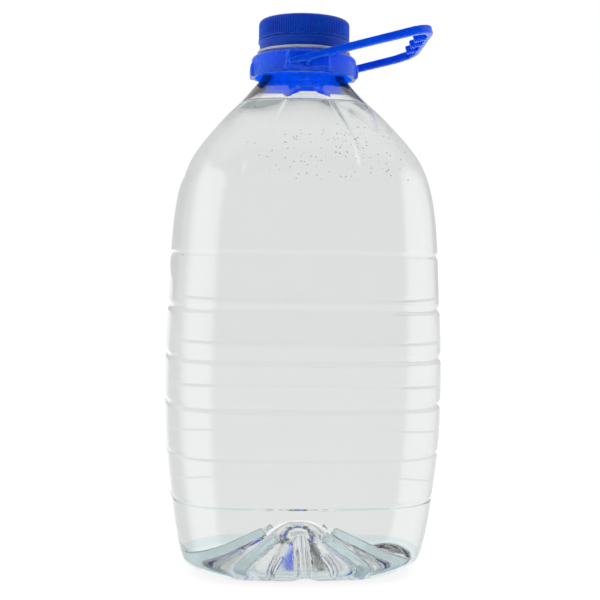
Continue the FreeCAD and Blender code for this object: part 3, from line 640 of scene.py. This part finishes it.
def neck_rings(angles):
    """Rings up the outside of the neck, over its lip and down its bore."""
    outside = [
        (NECK_RADIUS, 281.0), (NECK_RADIUS, 284.0), (NECK_RADIUS, 288.0), (NECK_RADIUS, 292.0),
        (NECK_RADIUS, 293.5), (24.6, 293.8), (26.7, 293.95), (27.1, 294.15), (27.2, 294.4),
        (27.2, 295.1), (27.0, 295.35), (26.7, 295.4), (23.6, 295.4), (23.25, 295.55),
        (23.2, 295.9), (23.2, 298.0), (23.4, 298.3), (24.2, 298.55), (24.3, 298.7),
        (24.3, 299.1), (24.15, 299.4), (23.1, 300.6),
    ]
    rings = [turned_ring(radius, height, angles) for radius, height in outside]
    for height in np.arange(300.9, 310.6, 0.38):
        ridge = thread_ridge(angles, height, THREAD_LEVEL, THREAD_STARTS)
        radius = FINISH_RADIUS + (THREAD_RADIUS - FINISH_RADIUS) * ridge
        rings.append(turned_ring(radius, height, angles))
    inside = [
        (22.8, 310.8), (22.55, 310.97), (22.2, 311.0), (21.6, 311.0), (21.3, 310.9),
        (21.2, 310.6), (21.2, 306.0), (21.2, 298.0), (21.2, 290.2), (21.4, 289.0),
        (21.8, 286.9), (22.0, 286.0), (22.1, 282.5), (22.4, 280.4), (23.4, 278.6),
    ]
    rings += [turned_ring(radius, height, angles) for radius, height in inside]
    return rings


def make_bottle(materials):
    """The blown wall and the neck as one closed shell. Where it is wet, the outer face has the
    water's index and the inner face bends nothing, because a thin wall bends light hardly at
    all. The materials stand in the list's order: dry, wet, inside, base and heel with painted
    shade, and ring with a painted highlight."""
    base_rows = 44
    outer = blown_rows(4.5, 0.5, base_rows)
    inner = blown_rows(5.0, 0.9, 34)
    inner = moved_in(inner, wall_at(inner[:, :, 2:]))
    inner = [ring for ring in inner if ring[:, 2].max() < INNER_TOP]
    angles = column_angles(280.0)
    neck = neck_rings(angles)
    piece = piece_from_rings("jug_bottle", list(outer) + neck + inner[::-1])
    for material in materials:
        piece.data.materials.append(material)
    count = len(angles)
    first_inside = (len(outer) + len(neck) - 1) * count
    points = np.empty(len(piece.data.vertices) * 3)
    piece.data.vertices.foreach_get("co", points)
    points = points.reshape(-1, 3) / MM
    for face in piece.data.polygons:
        corners = points[list(face.vertices)]
        first = min(face.vertices)
        top = corners[:, 2].max()
        middle = corners.mean(axis=0)
        is_wet = top < WATER_LEVEL + WET_ABOVE
        if first >= first_inside:
            face.material_index = INSIDE if is_wet else DRY
        # The base and heel take the PET with painted shade.
        elif first < base_rows * count or top < HEEL_TOP:
            face.material_index = BASE
        elif is_wet:
            face.material_index = WET
        # The support ring's faces take the PET with the painted highlight.
        elif RING_LOW < middle[2] < RING_HIGH and math.hypot(middle[0], middle[1]) > RING_INNER:
            face.material_index = RING
    return piece


def make_water(side, surface):
    """The water: the inside of the wall up to its level, with a small meniscus."""
    rows = moved_in(blown_rows(5.0, 0.9, 34), WALL + WATER_GAP)
    rows = [ring for ring in rows if ring[:, 2].max() < WATER_LEVEL - 1.0]
    angles = column_angles(WATER_LEVEL)
    level = np.full_like(angles, WATER_LEVEL)
    wall = side_radius(angles, level) - (WALL + WATER_GAP) * 1.35
    side_rows = len(rows)
    for inwards in (0.0, 0.25, 0.6, 1.1, 1.8, 2.8, 4.5, 7.0, 12.0, 20.0):
        rise = MENISCUS * math.exp(-inwards / MENISCUS)
        slant = (side_radius(angles, level) - side_radius(angles, level + rise)) * (inwards == 0.0)
        rows.append(turned_ring(wall - slant - inwards, WATER_LEVEL + rise, angles))
    piece = piece_from_rings("water", rows)
    piece.data.materials.append(side)
    piece.data.materials.append(surface)
    count = len(angles)
    for face in piece.data.polygons:
        if min(face.vertices) >= side_rows * count:
            face.material_index = 1
    return piece


def make_bubbles(material):
    """Tiny air bubbles inside the shoulder's front, a little towards the grip's side, and more
    of them higher up."""
    draw = np.random.default_rng(7)
    work = bmesh.new()
    made = 0
    while made < BUBBLE_COUNT:
        angle = draw.normal(-1.25, 0.42)
        height = draw.uniform(212.0, 249.0)
        if draw.random() > smooth_step(205.0, 232.0, height):
            continue
        radius = float(side_radius(np.array([angle]), np.array([height]))[0]) - WALL - 0.45
        place = Vector((radius * math.cos(angle), radius * math.sin(angle), height)) * MM
        size = draw.uniform(0.22, 0.44) * MM
        bmesh.ops.create_icosphere(work, subdivisions=2, radius=size,
                                   matrix=Matrix.Translation(place))
        made += 1
    mesh = bpy.data.meshes.new("bubbles")
    work.to_mesh(mesh)
    work.free()
    mesh.shade_smooth()
    mesh.materials.append(material)
    piece = bpy.data.objects.new("bubbles", mesh)
    bpy.context.scene.collection.objects.link(piece)
    return piece


# ---- The closure ---------------------------------------------------------------------------

CAP_RADIUS, CAP_TOP, CAP_BOTTOM = 26.5, 313.5, 301.7
CAP_BORE, CAP_CREST = 24.35, 23.25
KNURL_COUNT, KNURL_DEPTH = 120, 0.42
# One groove and rib of the knurl: places as shares of the pitch, and shares of the depth.
KNURL_SHAPE = ((-0.33, 0.0), (-0.16, 0.55), (0.0, 1.0), (0.16, 0.55), (0.33, 0.0), (0.5, -0.08))


def make_cap(material):
    """The cap: rounded top, knurled skirt, plain foot, and the thread inside."""
    pitch = 2 * math.pi / KNURL_COUNT
    knurls = [(rib + place, depth) for rib in range(KNURL_COUNT) for place, depth in KNURL_SHAPE]
    angles = np.array([place * pitch for place, depth in knurls])
    notch = np.array([depth for place, depth in knurls])
    edge = 2.8
    outside = [(4.0, CAP_TOP, 0), (12.0, CAP_TOP, 0), (19.0, CAP_TOP, 0), (22.4, CAP_TOP, 0)]
    for share in np.linspace(0.0, 1.0, 9):
        turn = share * QUARTER
        outside.append((CAP_RADIUS - edge + edge * math.sin(turn),
                        CAP_TOP - edge + edge * math.cos(turn),
                        max(0.0, share - 0.55) * 1.4))
    outside += [(CAP_RADIUS, level, depth) for level, depth in (
        (310.2, 0.8), (309.7, 1.0), (308.0, 1.0), (306.0, 1.0), (304.4, 1.0),
        (303.5, 1.0), (303.0, 0.8), (302.75, 0.35), (302.6, 0.0))]
    outside += [(26.62, 302.5, 0), (26.66, 302.2, 0), (26.6, 301.9, 0), (26.4, 301.74, 0),
                (26.1, CAP_BOTTOM, 0), (24.8, CAP_BOTTOM, 0), (24.45, 301.8, 0)]
    rings = []
    for radius, height, depth in outside:
        rings.append(turned_ring(radius - KNURL_DEPTH * depth * notch, height, angles))
    level = THREAD_LEVEL - THREAD_LEAD / (2 * THREAD_STARTS)
    for height in np.arange(302.1, 311.6, 0.42):
        ridge = thread_ridge(angles, height, level, THREAD_STARTS)
        rings.append(turned_ring(CAP_BORE - (CAP_BORE - CAP_CREST) * ridge, height, angles))
    rings += [turned_ring(radius, 311.9, angles) for radius in (24.1, 18.0, 9.0)]
    piece = piece_from_rings("screw_cap", rings, sharp=50)
    piece.data.materials.append(material)
    return piece


def make_band(material):
    """The tamper band, with a lip round its top and a catch inside its foot."""
    corners = [
        (23.6, 295.9), (25.8, 295.6), (26.0, 296.3), (25.75, 297.2), (26.15, 299.7), (26.8, 300.3),
        (26.8, 301.3), (24.7, 301.3), (24.7, 298.0), (23.6, 297.2),
    ]
    angles = np.linspace(0.0, 2 * math.pi, 240, endpoint=False)
    rings = [turned_ring(radius, height, angles) for radius, height in softened(corners, 0.3)]
    piece = piece_from_rings("break_band", rings, sharp=60, closed=True)
    piece.data.materials.append(material)
    return piece


# ---- Studio --------------------------------------------------------------------------------

def make_floor():
    """A plain white floor that runs out of sight. Light that has passed through the jug sees
    the studio in its place."""
    radius, count = 30.0, 96
    angles = np.linspace(0.0, 2 * math.pi, count, endpoint=False)
    vertices = [(radius * math.cos(a) / MM, radius * math.sin(a) / MM, -0.02) for a in angles]
    floor = add_piece("floor", vertices, [tuple(range(count))])
    material, shader = new_material("floor_white")
    shader.inputs["Base Color"].default_value = (0.5, 0.5, 0.5, 1.0)
    shader.inputs["Roughness"].default_value = 0.9
    shader.inputs["Specular IOR Level"].default_value = 0.0
    shader.inputs["Emission Color"].default_value = (1.0, 1.0, 1.0, 1.0)
    shader.inputs["Emission Strength"].default_value = 0.85
    floor.data.materials.append(material)
    floor.visible_transmission = False


def make_world():
    """A white studio, which the camera sees as plain white. The backdrop that shows through the
    jug has two brighter strips that the water bends into its sides. It is a little brighter
    above, and darker high up and low down. What lights the surfaces and mirrors in them is
    brighter on both sides, with the camera's side dark."""
    world = bpy.data.worlds.new("studio")
    bpy.context.scene.world = world
    world.use_nodes = True
    tree = world.node_tree
    tree.nodes.clear()
    output = tree.nodes.new("ShaderNodeOutputWorld")
    back = tree.nodes.new("ShaderNodeBackground")
    back.inputs["Color"].default_value = (1.0, 1.0, 1.0, 1.0)
    place = tree.nodes.new("ShaderNodeTexCoord")
    split = tree.nodes.new("ShaderNodeSeparateXYZ")
    tree.links.new(place.outputs["Generated"], split.inputs["Vector"])

    def calculate(operation, first, second=0.0):
        node = tree.nodes.new("ShaderNodeMath")
        node.operation = operation
        for socket, value in zip(node.inputs, (first, second)):
            if isinstance(value, float):
                socket.default_value = value
            else:
                tree.links.new(value, socket)
        return node.outputs["Value"]

    def step(source, start, end, low, high):
        node = tree.nodes.new("ShaderNodeMapRange")
        node.interpolation_type = "SMOOTHSTEP"
        for name, value in zip(("From Min", "From Max", "To Min", "To Max"), (start, end, low, high)):
            node.inputs[name].default_value = value
        tree.links.new(source, node.inputs["Value"])
        return node.outputs["Result"]

    across, ahead, up = (split.outputs[axis] for axis in ("X", "Y", "Z"))
    sideways = calculate("ABSOLUTE", across)

    strip = calculate("MULTIPLY", step(sideways, 0.115, 0.16, 0.0, 0.145),
                      step(sideways, 0.27, 0.40, 1.0, -0.4))
    strip = calculate("MULTIPLY", strip, step(up, -0.27, -0.17, 0.0, 1.0))
    backdrop = calculate("ADD", strip, 1.0)
    for factor in (step(up, 0.12, 0.24, 1.0, 1.14), step(up, 0.50, 0.80, 1.0, 0.50),
                   step(up, -0.90, -0.50, 0.55, 1.0)):
        backdrop = calculate("MULTIPLY", backdrop, factor)

    dark = calculate("MULTIPLY", step(ahead, -0.55, -0.05, 0.97, 0.0),
                     step(sideways, 0.60, 0.78, 1.0, 0.0))
    around = calculate("MULTIPLY", calculate("SUBTRACT", 1.0, dark),
                       step(sideways, 0.74, 0.88, 0.7, 1.1))

    path = tree.nodes.new("ShaderNodeLightPath")
    through = path.outputs["Is Transmission Ray"]
    behind = calculate("ADD", calculate("MULTIPLY", backdrop, through),
                       calculate("MULTIPLY", around, calculate("SUBTRACT", 1.0, through)))
    total = calculate("MAXIMUM", behind, path.outputs["Is Camera Ray"])
    tree.links.new(total, back.inputs["Strength"])
    tree.links.new(back.outputs["Background"], output.inputs["Surface"])


def add_softbox(name, place, target, width, height, power):
    """A large soft light that faces a point."""
    light = bpy.data.lights.new(name, "AREA")
    light.shape = "RECTANGLE"
    light.size = width
    light.size_y = height
    light.energy = power
    box = bpy.data.objects.new(name, light)
    box.location = place
    box.rotation_euler = (Vector(target) - Vector(place)).to_track_quat("-Z", "Y").to_euler()
    bpy.context.scene.collection.objects.link(box)


def make_camera():
    """The camera stands at the jug's upper half, a little to the left of its front, and leans."""
    distance, height = 649.5 * MM, 174.9 * MM
    turn, dip, lean = math.radians(4.5), math.radians(2.16), math.radians(0.9)
    lens = bpy.data.cameras.new("camera")
    lens.sensor_width = 36.0
    lens.lens = 65.9
    ahead = Vector((math.sin(turn) * math.cos(dip), math.cos(turn) * math.cos(dip), -math.sin(dip)))
    across = ahead.cross(Vector((0.0, 0.0, 1.0))).normalized()
    upright = across.cross(ahead)
    side = across * math.cos(lean) + upright * math.sin(lean)
    top = upright * math.cos(lean) - across * math.sin(lean)
    camera = bpy.data.objects.new("camera", lens)
    camera.rotation_mode = "QUATERNION"
    camera.rotation_quaternion = Matrix((side, top, -ahead)).transposed().to_quaternion()
    camera.location = (-distance * math.sin(turn), -distance * math.cos(turn), height)
    bpy.context.scene.collection.objects.link(camera)
    bpy.context.scene.camera = camera


# ---- Put it together -----------------------------------------------------------------------

make_camera()
make_floor()
make_world()
add_softbox("top_light", (0.0, 0.2, 1.8), (0.0, 0.0, 0.2), 2.4, 1.8, 6.0)

cap_blue = moulded_plastic("cap_blue", (0.0, 0.052, 0.50), (0.0, 0.064, 0.57), 0.40, 0.0)
handle_blue = moulded_plastic("handle_blue", (0.0, 0.095, 0.84), (0.0, 0.115, 0.92), 0.26, 0.1)
handle_glow = moulded_plastic("handle_blue_lit", (0.0, 0.085, 0.80), (0.0, 0.10, 0.88), 0.30, 0.0,
                              glow=(0.0, 0.11, 0.75))
pet = clear_pet("clear_pet", PET_INDEX, PET_TINT, 0.015)
wet_pet = clear_pet("clear_pet_wet", WATER_INDEX, WET_TINT, 0.015, roughness=0.04)
inner_pet = clear_pet("clear_pet_inside", BENDS_NOTHING, PLAIN, 0.0, EVEN)
# Painted shade: the base's tint is darker and blue-grey. Its roughness and waviness are its own.
base_shade_pet = clear_pet("clear_pet_base_shaded", WATER_INDEX, BASE_SHADE_TINT, 0.11, EVEN, roughness=0.10)
# Painted highlight: the support ring's PET scatters part of the light white and is rough.
ring_highlight_pet = clear_pet("clear_pet_ring_highlight", PET_INDEX, RING_HIGHLIGHT_TINT, 0.0, roughness=0.35, through=0.45)
water_side = water("water_side", BENDS_NOTHING)
water_surface = water("water_surface", WATER_INDEX)
bubble_skin = clear_pet("bubble_skin", 1.25, (0.60, 0.66, 0.66), 0.0)
liner_white = foam_white("liner_white")

bottle = make_bottle([pet, wet_pet, inner_pet, base_shade_pet, ring_highlight_pet])
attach(bottle, "bottle")
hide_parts("bottle")

filling = make_water(water_side, water_surface)
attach(filling, "bottle")

bubbles = make_bubbles(bubble_skin)
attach(bubbles, "bottle")

cap = make_cap(cap_blue)
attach(cap, "cap")
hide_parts("cap")

band = make_band(cap_blue)
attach(band, "band")
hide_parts("tamper_band")

# The collar's inner faces, up to this radius and height, are the ones that glow.
GLOW_RADIUS, GLOW_TOP = 28.7, 292.0

collar = rounded_copy("handle_collar", "neck_collar", voxel=0.35, rounds=10, outside=(28.4, 110))
collar.data.materials.append(handle_blue)
collar.data.materials.append(handle_glow)
for face in collar.data.polygons:
    radius = math.hypot(face.center.x, face.center.y) / MM
    if radius < GLOW_RADIUS and face.center.z < GLOW_TOP * MM:
        face.material_index = 1
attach(collar, "collar")
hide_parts("handle_collar")

bail = rounded_copy("handle_bail", "carrying_bail", voxel=0.35, rounds=40)
bail.data.materials.append(handle_blue)
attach(bail, "bail")
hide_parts("handle_bail")

for node, material in (("cap_liner", liner_white), ("band_bridges", cap_blue)):
    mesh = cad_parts[node].data
    mesh.materials.clear()
    mesh.materials.append(material)

# The photo shows no shadow of the clear pieces.
for piece in (bottle, filling, bubbles):
    piece.visible_shadow = False

scene = bpy.context.scene
scene.view_settings.view_transform = "Standard"
# Light can cross the water and its wall many times before it leaves.
scene.cycles.max_bounces = 96
scene.cycles.transmission_bounces = 96
scene.cycles.caustics_refractive = False
scene.cycles.caustics_reflective = False
